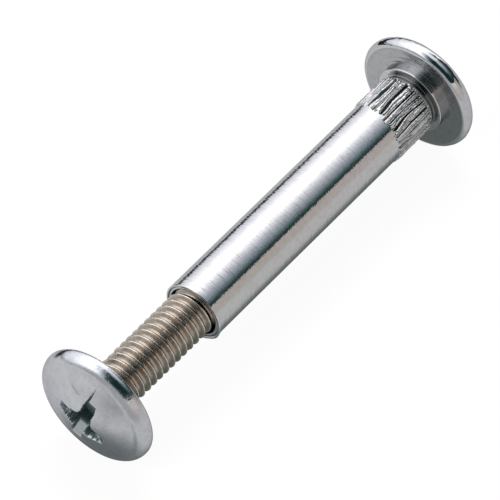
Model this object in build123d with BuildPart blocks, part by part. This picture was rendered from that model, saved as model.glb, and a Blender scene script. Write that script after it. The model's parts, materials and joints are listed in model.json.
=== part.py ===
"""Binding barrel screw, half closed: a threaded screw run part of the way into a barrel nut.

Both pieces lie on the rims of their heads, with their common axis along X.
The screw's head is at -X and the barrel's head at +X; the floor is z = 0.
The thread's turns are rings, one to a pitch.
"""
import os
from math import cos, radians, sin, sqrt, tan

from build123d import *

# Heads, the same on both pieces (all sizes in millimetres)
head_diameter = 10.0
rim_height = 1.2            # underside of the head to the shoulder, where the crown starts
crown_height = 2.5          # underside of the head to the top of the crown
crown_edge_diameter = 9.4
rim_foot_radius = 0.4       # round at the edge of the underside
rim_bulge = 0.05            # how far the rolled rim swells past a straight flank

# Drive recess, the same in both heads: a cross, with one pair of wings run out as a slot
slot_length = 5.2
cross_span = 4.3
wing_width = 1.02
ramp_span = 2.4             # where the wings' ramped floors drop into the core
ramp_depth = 0.85           # below the top of the crown
core_span = 1.3
recess_depth = 1.9
eye_diameter = 1.9          # round that joins the wings at the top of the crown
screw_slot_turn = 19.7      # degrees from upright, about +X
sleeve_slot_turn = -0.9

# Screw
thread_diameter = 3.9       # over the crests of an M4 thread
thread_pitch = 0.7
thread_depth = 0.37         # from the crests to the roots
thread_crest_width = 0.09
thread_runout = 0.6         # plain stretch under the head
screw_length = 20.0         # underside of the head to the tip
tip_chamfer = 0.4

# Barrel nut
sleeve_diameter = 5.0
sleeve_length = 27.0        # mouth to the underside of the head
mouth_chamfer = 0.08
thread_clearance = 0.05     # radial gap between the screw's crests and the threaded bore
mouth_clearance = 0.15      # the same in the wider mouth
mouth_bore_depth = 3.0
bore_depth = 24.0
drill_point_angle = 118.0

# Straight knurl, neck and collar under the barrel's head
knurl_count = 28
knurl_crest_diameter = 5.16
knurl_depth = 0.2
knurl_length = 3.9
knurl_bevel = 0.1
neck_diameter = 4.6
neck_length = 0.6
collar_diameter = 6.0
collar_height = 0.5
collar_round = 0.12

# How far the screw stands open: underside of its head to the barrel's mouth
open_gap = 10.5

# Places along the axis, worked out from the sizes above
axis_height = head_diameter / 2
overall_length = 2 * crown_height + open_gap + sleeve_length
screw_seat_x = crown_height - overall_length / 2
mouth_x = screw_seat_x + open_gap
sleeve_seat_x = mouth_x + sleeve_length

turning_axis = Axis((0, 0, axis_height), (1, 0, 0))
cutter_margin = 0.04        # how far a cutter stands out of the surface that it cuts


def crown_drop(radius):
    """How far the crown has fallen from its top at a radius from the axis."""
    edge_radius = crown_edge_diameter / 2
    rise = crown_height - rim_height
    dome_radius = (edge_radius**2 + rise**2) / (2 * rise)
    return dome_radius - sqrt(dome_radius**2 - radius**2)


def profile_plane(x, outward):
    """Plane for turned profiles: its x runs outward along the axis, its y is the radius."""
    return Plane(origin=(x, 0, axis_height), x_dir=(outward, 0, 0), z_dir=(0, -outward, 0))


def across(x, outward, turn=0.0):
    """Plane square to the axis at x, facing outward, its x axis turned from upright."""
    turned_up = (0, -sin(radians(turn)), cos(radians(turn)))
    return Plane(origin=(x, 0, axis_height), x_dir=turned_up, z_dir=(outward, 0, 0))


def add_head(seat_x, outward):
    """Turn a mushroom head: flat underside, rolled rim and spherical crown."""
    rim_radius = head_diameter / 2
    edge_radius = crown_edge_diameter / 2
    flank_top = ((rim_foot_radius + rim_height) / 2, (rim_radius + edge_radius) / 2)
    half_way = edge_radius / 2
    with BuildSketch(profile_plane(seat_x, outward)) as profile:
        with BuildLine():
            Line((0, 0), (0, rim_radius - rim_foot_radius))
            RadiusArc(
                (0, rim_radius - rim_foot_radius), (rim_foot_radius, rim_radius), rim_foot_radius
            )
            ThreePointArc(
                (rim_foot_radius, rim_radius),
                (flank_top[0] + rim_bulge, flank_top[1] + rim_bulge),
                (rim_height, edge_radius),
            )
            ThreePointArc(
                (rim_height, edge_radius),
                (crown_height - crown_drop(half_way), half_way),
                (crown_height, 0),
            )
            Line((crown_height, 0), (0, 0))
        make_face()
    revolve(profile.sketch, axis=turning_axis)


def cut_recess(seat_x, outward, turn):
    """Cut the cross recess into a crown: two crossed wings with ramped ends, and a round eye."""
    crown_x = seat_x + outward * crown_height
    for span, wing_turn in ((slot_length, turn), (cross_span, turn + 90)):
        face = across(crown_x, outward, wing_turn)
        wing_side = Plane(origin=face.origin, x_dir=face.x_dir, z_dir=-face.y_dir)
        end_drop = crown_drop(span / 2)
        with BuildSketch(wing_side) as wing:
            with BuildLine():
                Polyline(
                    (span / 2, cutter_margin),
                    (span / 2, -end_drop),
                    (ramp_span / 2, -ramp_depth),
                    (core_span / 2, -recess_depth),
                    (0, -recess_depth),
                    (0, cutter_margin),
                    close=True,
                )
            make_face()
            mirror(about=Plane.YZ)
        extrude(wing.sketch, amount=wing_width / 2, both=True, mode=Mode.SUBTRACT)
    with BuildSketch(across(crown_x - outward * recess_depth, outward)) as eye_floor:
        Circle(core_span / 2)
    with BuildSketch(across(crown_x, outward)) as eye_mouth:
        Circle(eye_diameter / 2)
    loft([eye_floor.sketch, eye_mouth.sketch], mode=Mode.SUBTRACT)


def thread_points(thread_end):
    """Outline of the thread's V grooves, from the head's side to the thread's end at the tip."""
    crest_radius = thread_diameter / 2
    points = []
    for turn in reversed(range(int((thread_end - thread_runout) / thread_pitch))):
        tip_side = thread_end - thread_crest_width - turn * thread_pitch
        head_side = tip_side + thread_crest_width - thread_pitch
        points.append((head_side, crest_radius))
        points.append(((head_side + tip_side) / 2, crest_radius - thread_depth))
        points.append((tip_side, crest_radius))
    return points


# Screw: threaded shank with a chamfered tip, head and recess
with BuildPart() as screw:
    shank_radius = thread_diameter / 2
    thread_end = screw_length - tip_chamfer
    with BuildSketch(profile_plane(screw_seat_x, 1)):
        with BuildLine():
            Polyline(
                (-rim_height / 2, 0),
                (-rim_height / 2, shank_radius),
                *thread_points(thread_end),
                (thread_end, shank_radius),
                (screw_length, shank_radius - tip_chamfer),
                (screw_length, 0),
                close=True,
            )
        make_face()
    revolve(axis=turning_axis)
    add_head(screw_seat_x, -1)
    cut_recess(screw_seat_x, -1, screw_slot_turn)

# Barrel nut: tube, knurl, collar, head, bore and recess
with BuildPart() as sleeve_nut:
    tube_radius = sleeve_diameter / 2
    crest_radius = knurl_crest_diameter / 2
    blank_radius = crest_radius + cutter_margin     # before the grooves meet at the crests
    knurl_start = sleeve_length - collar_height - neck_length - knurl_length
    knurl_end = knurl_start + knurl_length
    rooted_end = sleeve_length + rim_height / 2     # inside the head
    with BuildSketch(profile_plane(mouth_x, 1)):
        with BuildLine():
            Polyline(
                (0, 0),
                (0, tube_radius - mouth_chamfer),
                (mouth_chamfer, tube_radius),
                (knurl_start, tube_radius),
                (knurl_start + knurl_bevel, blank_radius),
                (knurl_end - knurl_bevel, blank_radius),
                (knurl_end, neck_diameter / 2),
                (rooted_end, neck_diameter / 2),
                (rooted_end, 0),
                close=True,
            )
        make_face()
    revolve(axis=turning_axis)

    # Straight V grooves of the knurl, open at the neck: neighbours meet at the crests
    half_pitch = radians(180 / knurl_count)
    root_radius = crest_radius - knurl_depth
    crest_point = (crest_radius * cos(half_pitch), crest_radius * sin(half_pitch))
    beyond = 1 + 2 * cutter_margin / knurl_depth    # the flanks run on past the blank
    groove_top = (root_radius + beyond * (crest_point[0] - root_radius), beyond * crest_point[1])
    with BuildSketch(across(mouth_x + knurl_start, 1)):
        with PolarLocations(0, knurl_count):
            Polygon(
                (root_radius, 0),
                groove_top,
                (groove_top[0], -groove_top[1]),
                align=None,
            )
    extrude(amount=knurl_length, mode=Mode.SUBTRACT)

    # Collar against the head's underside
    with BuildSketch(across(sleeve_seat_x - collar_height, 1)):
        Circle(collar_diameter / 2)
    extrude(amount=collar_height)
    collar_edge = edges().filter_by(GeomType.CIRCLE).sort_by(
        lambda edge: abs(edge.center().X - (sleeve_seat_x - collar_height))
        + abs(edge.radius - collar_diameter / 2)
    )[0]
    fillet(collar_edge, radius=collar_round)

    add_head(sleeve_seat_x, 1)
    cut_recess(sleeve_seat_x, 1, sleeve_slot_turn)

    # Blind bore: a wider mouth, the thread's bore and the drill's point
    thread_bore_radius = thread_diameter / 2 + thread_clearance
    mouth_bore_radius = thread_diameter / 2 + mouth_clearance
    point_length = thread_bore_radius / tan(radians(drill_point_angle / 2))
    with BuildSketch(profile_plane(mouth_x, 1)):
        with BuildLine():
            Polyline(
                (-cutter_margin, 0),
                (-cutter_margin, mouth_bore_radius),
                (mouth_bore_depth, mouth_bore_radius),
                (mouth_bore_depth + mouth_clearance - thread_clearance, thread_bore_radius),
                (bore_depth, thread_bore_radius),
                (bore_depth + point_length, 0),
                close=True,
            )
        make_face()
    revolve(axis=turning_axis, mode=Mode.SUBTRACT)

screw.part.label = "screw"
sleeve_nut.part.label = "sleeve_nut"

os.makedirs("parts", exist_ok=True)
for piece in (screw, sleeve_nut):
    export_step(piece.part, f"parts/{piece.part.label}.step")
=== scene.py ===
"""Dressed model of a binding barrel screw: a threaded screw run part of the way into a barrel nut.

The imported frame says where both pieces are. Each is built again here with its thread, rolled
rims, struck recess and coarse knurl, and finished in bright nickel plate over steel.
Sizes in the classes are millimetres; places on the frame and in Blender are metres.
"""
import json
import logging
from collections.abc import Callable, Sequence
from dataclasses import dataclass
from enum import Enum
from math import asin, cos, degrees, pi, radians, sin, sqrt, tan

import bmesh
import bpy
import numpy as np
from mathutils import Matrix, Vector


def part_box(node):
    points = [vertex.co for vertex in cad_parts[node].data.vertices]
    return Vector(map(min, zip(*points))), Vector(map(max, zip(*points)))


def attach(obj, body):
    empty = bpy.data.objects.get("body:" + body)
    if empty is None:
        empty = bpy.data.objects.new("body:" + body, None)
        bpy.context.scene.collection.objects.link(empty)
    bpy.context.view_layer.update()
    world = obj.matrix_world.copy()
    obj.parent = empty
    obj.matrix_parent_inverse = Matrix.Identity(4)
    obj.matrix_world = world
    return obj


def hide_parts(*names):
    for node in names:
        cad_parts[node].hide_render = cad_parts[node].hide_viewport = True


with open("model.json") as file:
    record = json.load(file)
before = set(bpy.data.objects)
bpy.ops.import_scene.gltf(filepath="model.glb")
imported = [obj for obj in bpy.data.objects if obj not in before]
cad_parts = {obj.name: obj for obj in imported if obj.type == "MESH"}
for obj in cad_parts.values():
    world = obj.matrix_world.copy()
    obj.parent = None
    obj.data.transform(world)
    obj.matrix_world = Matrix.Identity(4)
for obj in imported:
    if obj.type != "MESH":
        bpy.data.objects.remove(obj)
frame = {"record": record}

LOG = logging.getLogger("binding_screw")
MM = 0.001
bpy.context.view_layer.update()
AXIS_HEIGHT = sum(corner[2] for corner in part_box("sleeve_nut")) / 2
PAINTED_SHADE = "painted_shade"                   # vertex value of painted shade, 0 on the open surface to 1 deep in a groove
CLEAR = 9                           # millimetres above the crown, where a surface cuts nothing


class End(Enum):
    """Which way a head faces along the common axis."""

    SCREW = -1
    SLEEVE = 1


# ---------------------------------------------------------------- shared helpers


def mount_x(name: str) -> float:
    """Place of a mount of the record along the axis, in metres.

    Args:
        name: the mount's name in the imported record.

    Returns:
        Its x in the row frame.
    """
    return next(m["pos_m"][0] for m in frame["record"]["mounts"] if m["name"] == name)


def linear(hex_colour: str) -> tuple[float, float, float, float]:
    """Turn an sRGB hex colour into the linear one that the shaders take.

    Args:
        hex_colour: six hex digits after a hash sign.

    Returns:
        Linear red, green and blue, and an alpha of 1.
    """
    parts = [int(hex_colour[i:i + 2], 16) / 255 for i in (1, 3, 5)]
    red, green, blue = (
        c / 12.92 if c <= 0.04045 else ((c + 0.055) / 1.055) ** 2.4 for c in parts
    )
    return (red, green, blue, 1.0)


def smoothstep(low: float, high: float, value: np.ndarray) -> np.ndarray:
    """Smooth ramp from 0 at low to 1 at high.

    Args:
        low: where the ramp starts.
        high: where it ends.
        value: where to read it.

    Returns:
        The ramp at each value.
    """
    t = np.clip((value - low) / (high - low), 0.0, 1.0)
    return t * t * (3 - 2 * t)


def bell(value: np.ndarray, centre: float, width: float) -> np.ndarray:
    """Rounded bump of height 1 at a centre.

    Args:
        value: where to read it.
        centre: the middle of the bump.
        width: its half-width, where it has fallen to about a third.

    Returns:
        The bump at each value.
    """
    return np.exp(-(((value - centre) / width) ** 2))


class Grain:
    """Repeatable value noise for the small unevenness of worked metal."""

    SIZE = 256

    def __init__(self, seed: int) -> None:
        """Draw the noise's table of random heights."""
        self.table = np.random.default_rng(seed).uniform(-1, 1, (self.SIZE, self.SIZE))

    def at(self, u: np.ndarray, v: np.ndarray | float = 0.0) -> np.ndarray:
        """Noise between -1 and 1.

        Args:
            u: first coordinate, one cell of noise per unit.
            v: second coordinate.

        Returns:
            The noise at each place.
        """
        u, v = np.broadcast_arrays(np.asarray(u, float), np.asarray(v, float))
        iu, iv = np.floor(u).astype(int), np.floor(v).astype(int)
        fu, fv = u - iu, v - iv
        fu, fv = fu * fu * (3 - 2 * fu), fv * fv * (3 - 2 * fv)
        n = self.SIZE

        def corner(du: int, dv: int) -> np.ndarray:
            """Random height at one corner of the cell."""
            return self.table[(iu + du) % n, (iv + dv) % n]

        low = corner(0, 0) * (1 - fu) + corner(1, 0) * fu
        high = corner(0, 1) * (1 - fu) + corner(1, 1) * fu
        return low * (1 - fv) + high * fv


def mesh_piece(
    name: str, points: np.ndarray, faces: Sequence[Sequence[int]], painted_shade: np.ndarray,
    weld_mm: float = 0.0005,
) -> bpy.types.Object:
    """Make a smooth closed mesh object.

    Args:
        name: the piece's name.
        points: one row of x, y, z in metres per vertex.
        faces: vertex numbers of each face.
        painted_shade: painted shade of each vertex, 0 to 1, deepest in a groove, for the finish.
        weld_mm: vertices nearer than this become one, which closes the poles.

    Returns:
        The new object, linked to the scene.
    """
    mesh = bpy.data.meshes.new(name)
    mesh.from_pydata(points.tolist(), [], faces)
    mesh.attributes.new(PAINTED_SHADE, "FLOAT", "POINT").data.foreach_set("value", painted_shade.ravel())
    work = bmesh.new()
    work.from_mesh(mesh)
    bmesh.ops.remove_doubles(work, verts=work.verts, dist=weld_mm * MM)
    bmesh.ops.dissolve_degenerate(work, edges=work.edges, dist=weld_mm * MM / 10)
    bmesh.ops.recalc_face_normals(work, faces=work.faces)
    work.to_mesh(mesh)
    work.free()
    mesh.shade_smooth()
    piece = bpy.data.objects.new(name, mesh)
    bpy.context.scene.collection.objects.link(piece)
    return piece


def ring_faces(rings: int, columns: int, first: int = 0) -> list[tuple[int, int, int, int]]:
    """Quads that join closed rings of vertices, laid out ring after ring.

    Args:
        rings: how many rings there are.
        columns: how many vertices each has.
        first: number of the first vertex.

    Returns:
        Vertex numbers of each quad.
    """
    faces = []
    for ring in range(rings - 1):
        low = first + ring * columns
        for column in range(columns):
            following = (column + 1) % columns
            faces.append((
                low + column, low + following,
                low + columns + following, low + columns + column,
            ))
    return faces


def arc(
    centre: tuple[float, float], radius: float, start: float, stop: float, steps: int
) -> list[tuple[float, float]]:
    """Points of a round stretch of a turned profile.

    Args:
        centre: its middle, as place along the axis and radius.
        radius: its own radius.
        start: angle of its first point, in degrees from the axis.
        stop: angle of its last point.
        steps: how many stretches it has.

    Returns:
        Places along the axis and radii, both ends included.
    """
    angles = [radians(start + (stop - start) * i / steps) for i in range(steps + 1)]
    return [(centre[0] + radius * cos(a), centre[1] + radius * sin(a)) for a in angles]


def run(start: tuple[float, float], stop: tuple[float, float], steps: int) -> list[tuple[float, float]]:
    """Evenly spaced points of a straight stretch of a profile.

    Args:
        start: where it starts, as place along the axis and radius; this point is left out.
        stop: where it ends.
        steps: how many stretches it has.

    Returns:
        Places along the axis and radii.
    """
    return [
        (start[0] + (stop[0] - start[0]) * i / steps, start[1] + (stop[1] - start[1]) * i / steps)
        for i in range(1, steps + 1)
    ]


def add_node(
    tree: bpy.types.NodeTree, kind: str, inputs: dict | Sequence = (), output: int | str = 0,
    **settings: object,
) -> bpy.types.NodeSocket | None:
    """Add a shader node, set it up, and fill or link its inputs.

    Args:
        tree: the tree that it goes in.
        kind: the node's type name, without the ShaderNode that they all start with.
        inputs: values and output sockets, in the order of the node's inputs or by their names.
        output: which of its outputs to give back.
        settings: properties of the node.

    Returns:
        The output socket, or None for a node that has none.
    """
    node = tree.nodes.new("ShaderNode" + kind)
    for name, value in settings.items():
        setattr(node, name, value)
    pairs = inputs.items() if isinstance(inputs, dict) else enumerate(inputs)
    for socket, value in pairs:
        if isinstance(value, bpy.types.NodeSocket):
            tree.links.new(value, node.inputs[socket])
        else:
            node.inputs[socket].default_value = value
    return node.outputs[output] if node.outputs else None


def new_material(name: str) -> tuple[bpy.types.Material, bpy.types.NodeTree]:
    """Make a node material that is still empty.

    Args:
        name: the material's name.

    Returns:
        The material and its tree.
    """
    material = bpy.data.materials.new(name)
    material.use_nodes = True
    material.node_tree.nodes.clear()
    return material, material.node_tree


# ---------------------------------------------------------------- finishes


@dataclass(frozen=True)
class PlateOverSteel:
    """Nickel plate over steel, as barrel-plated fasteners have it: bright, a little uneven.

    The plate follows the tool marks of the steel under it, so each finish is this one with
    the marks of how that surface was made. In grooves it is rougher, and painted shade darkens it.
    The eye sees a mirror of its surroundings, a little warmer in its clouds and spots.
    """

    name: str
    colour: str
    stain: str                      # of the cloudy patches
    roughness: float
    tarnish: str = "#a8a49f"        # of smaller spots where the plate is thin
    tarnish_share: float = 0.15
    tarnish_mm: float = 0.35
    painted_shade: str = "#313f3c"         # painted shade: the plate's colour deep in a groove
    hollow_roughness: float = 0.2   # how much rougher it is there
    edge: str = "#d0d2d6"           # tint at a glancing angle
    roughness_spread: float = 0.05
    stain_share: float = 0.25
    mottle_mm: float = 1.3          # size of the cloudy patches that plating leaves
    grain_mm: float = 0.16          # fine pits, drawn as coarse as they need to show
    grain_depth_mm: float = 0.003

    def marks(
        self, tree: bpy.types.NodeTree, place: bpy.types.NodeSocket, pits: bpy.types.NodeSocket
    ) -> bpy.types.NodeSocket:
        """Height in millimetres of the surface's fine form; plain plate has only its pits."""
        return add_node(tree, "Math", (pits, self.grain_depth_mm), operation="MULTIPLY")

    def build(self) -> bpy.types.Material:
        """Make the material.

        Returns:
            A metal with cloudy colour and roughness, pits and its own tool marks.
        """
        material, tree = new_material(self.name)
        place = add_node(tree, "Mapping", {
            "Vector": add_node(tree, "TexCoord", output="Object"), "Scale": (1 / MM,) * 3,
        })
        clouds = add_node(tree, "TexNoise", {
            "Vector": place, "Scale": 1 / self.mottle_mm, "Detail": 5.0, "Roughness": 0.65,
        }, "Fac")
        spots = add_node(tree, "TexNoise", {
            "Vector": place, "Scale": 1 / self.tarnish_mm, "Detail": 4.0, "Roughness": 0.6,
        }, "Fac")
        # Painted shade: the vertex value darkens the colour and roughens the plate.
        depth = add_node(tree, "Attribute", output="Fac", attribute_name=PAINTED_SHADE)
        colour = linear(self.colour)
        for factor, layer in (
            (add_node(tree, "MapRange", (clouds, 0.45, 0.45 + 0.25 / self.stain_share)), self.stain),
            (add_node(tree, "MapRange", (spots, 0.5, 0.5 + 0.06 / self.tarnish_share)), self.tarnish),
            (depth, self.painted_shade),
        ):
            colour = add_node(
                tree, "Mix", {0: factor, 6: colour, 7: linear(layer)}, 2,
                data_type="RGBA", clamp_factor=True,
            )
        cloudy = add_node(tree, "MapRange", (
            clouds, 0.0, 1.0,
            self.roughness - self.roughness_spread, self.roughness + self.roughness_spread,
        ))
        rough = add_node(
            tree, "Math", (depth, self.hollow_roughness, cloudy), operation="MULTIPLY_ADD"
        )
        pits = add_node(tree, "TexNoise", {"Vector": place, "Scale": 1 / self.grain_mm}, "Fac")
        bump = add_node(tree, "Bump", {
            "Height": self.marks(tree, place, pits), "Distance": MM, "Strength": 1.0,
        })
        surface = add_node(tree, "BsdfPrincipled", {
            "Base Color": colour, "Roughness": rough, "Metallic": 1.0, "Normal": bump,
            "Specular Tint": linear(self.edge),
        })
        add_node(tree, "OutputMaterial", {"Surface": surface})
        return material


@dataclass(frozen=True)
class TurnedTube(PlateOverSteel):
    """Plate over a bar turned on an automatic lathe: fine rings square to the axis.

    The eye sees long crisp reflections whose edges the rings make ragged.
    """

    feed_mm: float = 0.15           # feed marks, drawn as coarse as they need to show
    feed_depth_mm: float = 0.022
    feed_round: float = 0.30        # how soon, per millimetre round the bar, they change
    band_mm: float = 0.55           # slower waviness along the bar
    band_depth_mm: float = 0.030
    band_round: float = 0.25

    def marks(
        self, tree: bpy.types.NodeTree, place: bpy.types.NodeSocket, pits: bpy.types.NodeSocket
    ) -> bpy.types.NodeSocket:
        """Rings whose height varies along the axis and only slowly round it.

        Args:
            tree: the finish's node tree.
            place: place on the object, in millimetres.
            pits: noise of the fine pits, 0 to 1.

        Returns:
            Height of the surface's fine form, in millimetres.
        """
        total = super().marks(tree, place, pits)
        for spacing, depth, round_scale in (
            (self.feed_mm, self.feed_depth_mm, self.feed_round),
            (self.band_mm, self.band_depth_mm, self.band_round),
        ):
            stretched = add_node(tree, "Mapping", {
                "Vector": place, "Scale": (1 / spacing, round_scale, round_scale),
            })
            rings = add_node(tree, "TexNoise", {
                "Vector": stretched, "Scale": 1.0, "Roughness": 0.65,
            }, "Fac")
            total = add_node(tree, "Math", (rings, depth, total), operation="MULTIPLY_ADD")
        return total


@dataclass(frozen=True)
class RolledThread(PlateOverSteel):
    """Plate over a rolled thread: short drag lines across the flanks, square to the turns.

    The eye sees bright crests between warm grey flanks that break up into fine dashes.
    """

    drag_mm: float = 0.13           # drag lines, drawn as coarse as they need to show
    drag_depth_mm: float = 0.016
    drag_along: float = 0.9         # how soon, per millimetre along the shank, they change

    def marks(
        self, tree: bpy.types.NodeTree, place: bpy.types.NodeSocket, pits: bpy.types.NodeSocket
    ) -> bpy.types.NodeSocket:
        """Lines whose height varies round the axis and only slowly along it.

        Args:
            tree: the finish's node tree.
            place: place on the object, in millimetres.
            pits: noise of the fine pits, 0 to 1.

        Returns:
            Height of the surface's fine form, in millimetres.
        """
        stretched = add_node(tree, "Mapping", {
            "Vector": place, "Scale": (self.drag_along, 1 / self.drag_mm, 1 / self.drag_mm),
        })
        lines = add_node(tree, "TexNoise", {
            "Vector": stretched, "Scale": 1.0, "Detail": 3.0, "Roughness": 0.7,
        }, "Fac")
        return add_node(
            tree, "Math", (lines, self.drag_depth_mm, super().marks(tree, place, pits)),
            operation="MULTIPLY_ADD",
        )


@dataclass(frozen=True)
class TurnedFace(PlateOverSteel):
    """Plate over a faced and formed head: rings round the axis.

    The eye sees a rim like a mirror, and a duller underside with streaks that follow the rings.
    """

    feed_mm: float = 0.13           # rings, drawn as coarse as they need to show
    feed_depth_mm: float = 0.004
    feed_round: float = 0.16        # how soon, per millimetre across the head, they change

    def marks(
        self, tree: bpy.types.NodeTree, place: bpy.types.NodeSocket, pits: bpy.types.NodeSocket
    ) -> bpy.types.NodeSocket:
        """Rings whose height varies with the distance from the axis.

        Args:
            tree: the finish's node tree.
            place: place on the object, in millimetres.
            pits: noise of the fine pits, 0 to 1.

        Returns:
            Height of the surface's fine form, in millimetres.
        """
        centred = add_node(
            tree, "VectorMath", (place, (0.0, 0.0, AXIS_HEIGHT / MM)), operation="SUBTRACT"
        )
        flat = add_node(tree, "VectorMath", (centred, (0.0, 1.0, 1.0)), operation="MULTIPLY")
        radius = add_node(tree, "VectorMath", (flat,), "Value", operation="LENGTH")
        spread = add_node(tree, "VectorMath", (flat, (self.feed_round,) * 3), operation="MULTIPLY")
        out = add_node(tree, "CombineXYZ", (
            add_node(tree, "Math", (radius, 1 / self.feed_mm), operation="MULTIPLY"),
        ))
        rings = add_node(tree, "TexNoise", {
            "Vector": add_node(tree, "VectorMath", (spread, out), operation="ADD"),
            "Scale": 1.0, "Roughness": 0.6,
        }, "Fac")
        return add_node(
            tree, "Math", (rings, self.feed_depth_mm, super().marks(tree, place, pits)),
            operation="MULTIPLY_ADD",
        )


@dataclass(frozen=True)
class StruckFace(PlateOverSteel):
    """Plate over a cold-headed face: satin, with hair scratches from tumbling.

    The eye sees large soft reflections, a little clouded, and a few fine lines that cross.
    Each of the crossings is a turn about the axis and how short the noise is drawn out there.
    """

    scratch_mm: float = 0.9         # length over which a scratch wanders
    scratch_depth_mm: float = 0.004
    scratch_share: float = 1 / 60   # its half-width, as a share of the noise's height
    crossings: tuple[tuple[float, float], ...] = ((0.5, 0.10), (1.9, 0.07), (2.7, 0.12))

    def marks(
        self, tree: bpy.types.NodeTree, place: bpy.types.NodeSocket, pits: bpy.types.NodeSocket
    ) -> bpy.types.NodeSocket:
        """Sparse crossing hair scratches, each a thin valley along a level line of noise.

        Args:
            tree: the finish's node tree.
            place: place on the object, in millimetres.
            pits: noise of the fine pits, 0 to 1.

        Returns:
            Height of the surface's fine form, in millimetres.
        """
        total = super().marks(tree, place, pits)
        for turn, stretch in self.crossings:
            turned = add_node(tree, "Mapping", {
                "Vector": place, "Rotation": (turn, 0.0, 0.0), "Scale": (0.4, 1.0, stretch),
            })
            noise = add_node(tree, "TexNoise", {
                "Vector": turned, "Scale": 1 / self.scratch_mm, "Detail": 5.0, "Roughness": 0.75,
            }, "Fac")
            off = add_node(tree, "Math", (
                add_node(tree, "Math", (noise, 0.5), operation="SUBTRACT"),
            ), operation="ABSOLUTE")
            valley = add_node(tree, "MapRange", (
                off, 0.0, self.scratch_share, self.scratch_depth_mm / 3, 0.0,
            ))
            total = add_node(tree, "Math", (total, valley), operation="SUBTRACT")
        return total


# ---------------------------------------------------------------- forms


@dataclass(frozen=True)
class Recess:
    """Cross recess struck into a crown: a long pair of wings, a short pair and a round eye.

    a runs along the long wings and b along the short ones, both square to the axis.
    """

    long_reach: float = 2.58        # from the middle to where the ramp comes out of the crown
    short_reach: float = 2.15
    half_width: float = 0.5
    side_half_width: float = 0.68   # the side wings, which the driver has torn wider
    side_taper: float = 0.05        # how much narrower they are each millimetre out
    side_shift: float = -0.38       # and lower
    ramp_reach: float = 1.2         # where the ramp drops into the core
    ramp_depth: float = 0.85        # below the top of the crown
    core_reach: float = 0.62
    depth: float = 1.9
    eye_reach: float = 0.86
    eye_slope: float = 4.6          # of its floor, from the core out to its wall
    eye_wall_slope: float = 30.0
    wall_slope: float = 9.0         # how steeply the wings' sides stand
    wall_bow: float = 1.15          # over 1, they grow steeper toward the crown
    wall_inset: float = 0.1         # how far within the wing's edge they start
    side_rag: float = 0.05          # how uneven the wings' sides are
    fine_rag: float = 0.02          # the same in small steps
    torn_rag: float = 1.8           # how much more so along the side wings' lower edges
    centre_a: float = -0.2          # how far the punch struck off centre
    centre_b: float = -0.06
    corner_round: float = 0.72      # worn corner between the upper wing and one side wing
    corner_start: float = 0.3       # from the middle of the upper wing
    corner_slope: float = 7.0
    sliver_start: float = 1.5       # on the upper wing, where the punch's corner scored on
    sliver_reach: float = 4.1       # how far it scored the crown
    sliver_width: float = 0.17
    sliver_inset: float = 0.08      # from the wing's edge
    sliver_slope: float = 3.0
    burr_height: float = 0.07       # metal pushed up along the lower edges of the side wings
    burr_width: float = 0.1
    scratches: tuple[tuple[float, float, float, float], ...] = ()   # ends, as a and b
    scratch_depth: float = 0.07
    scratch_width: float = 0.07     # half of it
    scratch_bow: float = 0.12       # how far its middle lies off the straight line
    scratch_clear: float = 1.1      # no scratch comes nearer to the middle than this
    seed: int = 5

    def floor(self, reach: np.ndarray, end: float, end_height: float, top: float) -> np.ndarray:
        """Height of a wing's ramped floor along its length.

        Args:
            reach: distance along the wing from the middle.
            end: where the ramp comes out of the crown.
            end_height: height of the crown there.
            top: height of the crown's top.

        Returns:
            Height of the floor above the head's underside.
        """
        step_out, step_up = 0.02, 0.3       # past its end the floor stands up clear of the crown
        places = (0.0, self.core_reach, self.ramp_reach, end, end + step_out, 2 * end)
        heights = (
            top - self.depth, top - self.depth, top - self.ramp_depth,
            end_height, end_height + step_up, top + end,
        )
        return np.interp(reach, places, heights)

    def burr(self, a: np.ndarray, b: np.ndarray) -> np.ndarray:
        """Torn metal along the lower edges of the side wings.

        Args:
            a: place along the long wings.
            b: place along the short wings.

        Returns:
            How far it stands over the crown.
        """
        grain = Grain(self.seed + 1)
        torn = smoothstep(0.05, 0.6, grain.at(b * 3.1, 3.7) + 0.6 * grain.at(b * 7, a * 4))
        edge = bell(a - self.centre_a - self.side_shift + self.side_half_width, 0.0, self.burr_width)
        beside = (np.abs(b) > self.half_width) & (np.abs(b) < self.short_reach + self.burr_width)
        return self.burr_height * torn * edge * beside

    def cut(self, a: np.ndarray, b: np.ndarray, crown: Callable, top: float) -> np.ndarray:
        """Height of the recess's surface, above the crown where nothing is cut.

        Args:
            a: place along the long wings.
            b: place along the short wings.
            crown: gives the crown's height at a radius.
            top: height of the crown's top.

        Returns:
            Height above the head's underside.
        """
        grain = Grain(self.seed)
        long_wing, short_wing = a - self.centre_a, b - self.centre_b
        torn = 1 + self.torn_rag * smoothstep(-0.3, -0.8, long_wing) * (np.abs(b) > self.half_width)
        ragged = torn * (
            self.side_rag * grain.at(a * 2.3, b * 2.3) + self.fine_rag * grain.at(a * 5, b * 5)
        )
        side_half = self.side_half_width - self.side_taper * np.abs(short_wing)
        surfaces = []
        for along, off, half, end in (
            (long_wing, short_wing, self.half_width, self.long_reach),
            (short_wing, long_wing - self.side_shift, side_half, self.short_reach),
        ):
            side = np.maximum(np.abs(off) - half + self.wall_inset + ragged, 0.0)
            surfaces.append(
                self.floor(np.abs(along), end, float(crown(end)), top)
                + self.wall_slope * side ** self.wall_bow
            )
        radius = np.hypot(long_wing, short_wing)
        eye = top - self.depth + self.eye_slope * np.maximum(radius - self.core_reach, 0.0)
        surfaces.append(eye + self.eye_wall_slope * np.maximum(radius - self.eye_reach, 0.0))
        open_height = crown(np.hypot(a, b))
        surfaces.append(self.worn_corner(long_wing, short_wing, open_height, top))
        surfaces.append(open_height + self.sliver(a, short_wing))
        for ends in self.scratches:
            clear = CLEAR * (radius < self.scratch_clear)
            surfaces.append(open_height - self.scratch(a, b, ends) + clear)
        return np.minimum.reduce(surfaces)

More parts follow.
